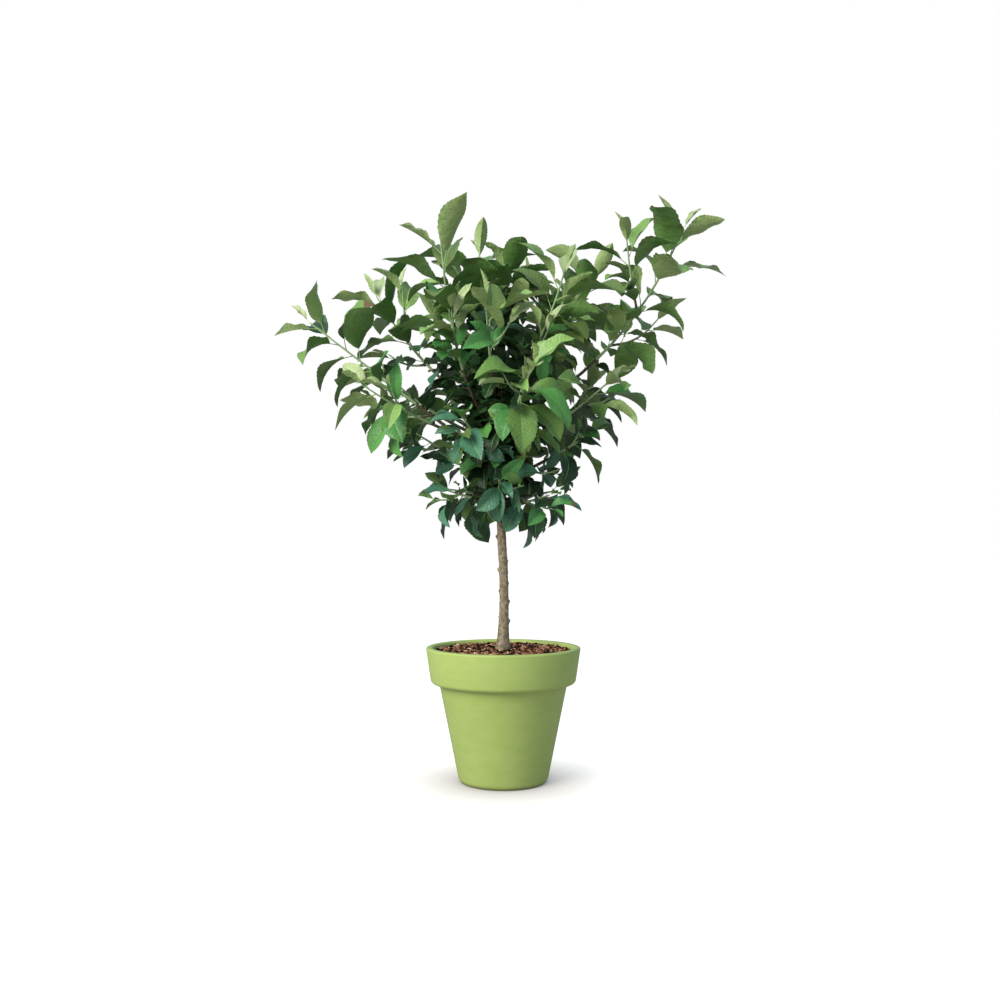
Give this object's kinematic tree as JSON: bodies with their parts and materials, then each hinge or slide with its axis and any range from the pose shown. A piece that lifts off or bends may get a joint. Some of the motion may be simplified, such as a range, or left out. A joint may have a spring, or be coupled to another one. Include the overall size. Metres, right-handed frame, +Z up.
{
  "type": "potted dwarf apple tree",
  "caption": "Dwarf fruit tree grown as a small standard, with a short bare trunk under a spreading leafy crown, in a round collared patio pot.",
  "frame": {"origin": "centre of the pot's flat underside, which stands on the ground", "axes": "+Z up along the trunk, -Y towards the front, +X to the right seen from the front"},
  "size_m": [0.7194, 0.5343, 0.9338],
  "materials": {
    "pot_plastic": "moulded lime green plastic, matt and faintly mottled",
    "mulch": "coarse chipped bark over compost, dull",
    "trunk_bark": "young greyish tan bark with pores and bud scars",
    "bough_bark": "dark olive brown young bark",
    "foliage": "green leaves, a little waxy above and paler and downy below"
  },
  "bodies": {
    "root": {"bough_far_left": "bough_bark", "bough_front": "bough_bark", "bough_low_back": "bough_bark", "bough_low_back_left": "bough_bark", "bough_low_front": "bough_bark", "bough_low_left": "bough_bark", "bough_low_right": "bough_bark", "bough_mid_back": "bough_bark", "bough_mid_back_left": "bough_bark", "bough_mid_back_right": "bough_bark", "bough_mid_front": "bough_bark", "bough_mid_left": "bough_bark", "bough_mid_right": "bough_bark", "bough_skirt_back_left": "bough_bark", "bough_skirt_back_right": "bough_bark", "bough_skirt_front": "bough_bark", "bough_skirt_front_right": "bough_bark", "bough_skirt_left": "bough_bark", "bough_tall_back": "bough_bark", "bough_tall_left": "bough_bark", "bough_tall_right": "bough_bark", "bough_upper_back_right": "bough_bark", "bough_upper_front": "bough_bark", "bough_upper_left": "bough_bark", "bough_upper_right": "bough_bark", "leaves_far_left": "foliage", "leaves_front": "foliage", "leaves_leader": "foliage", "leaves_low_back": "foliage", "leaves_low_back_left": "foliage", "leaves_low_front": "foliage", "leaves_low_left": "foliage", "leaves_low_right": "foliage", "leaves_mid_back": "foliage", "leaves_mid_back_left": "foliage", "leaves_mid_back_right": "foliage", "leaves_mid_front": "foliage", "leaves_mid_left": "foliage", "leaves_mid_right": "foliage", "leaves_skirt_back_left": "foliage", "leaves_skirt_back_right": "foliage", "leaves_skirt_front": "foliage", "leaves_skirt_front_right": "foliage", "leaves_skirt_left": "foliage", "leaves_tall_back": "foliage", "leaves_tall_left": "foliage", "leaves_tall_right": "foliage", "leaves_upper_back_right": "foliage", "leaves_upper_front": "foliage", "leaves_upper_left": "foliage", "leaves_upper_right": "foliage", "mulch_fill": "mulch", "pot": "pot_plastic", "trunk": "trunk_bark"}
  },
  "joints": []
}
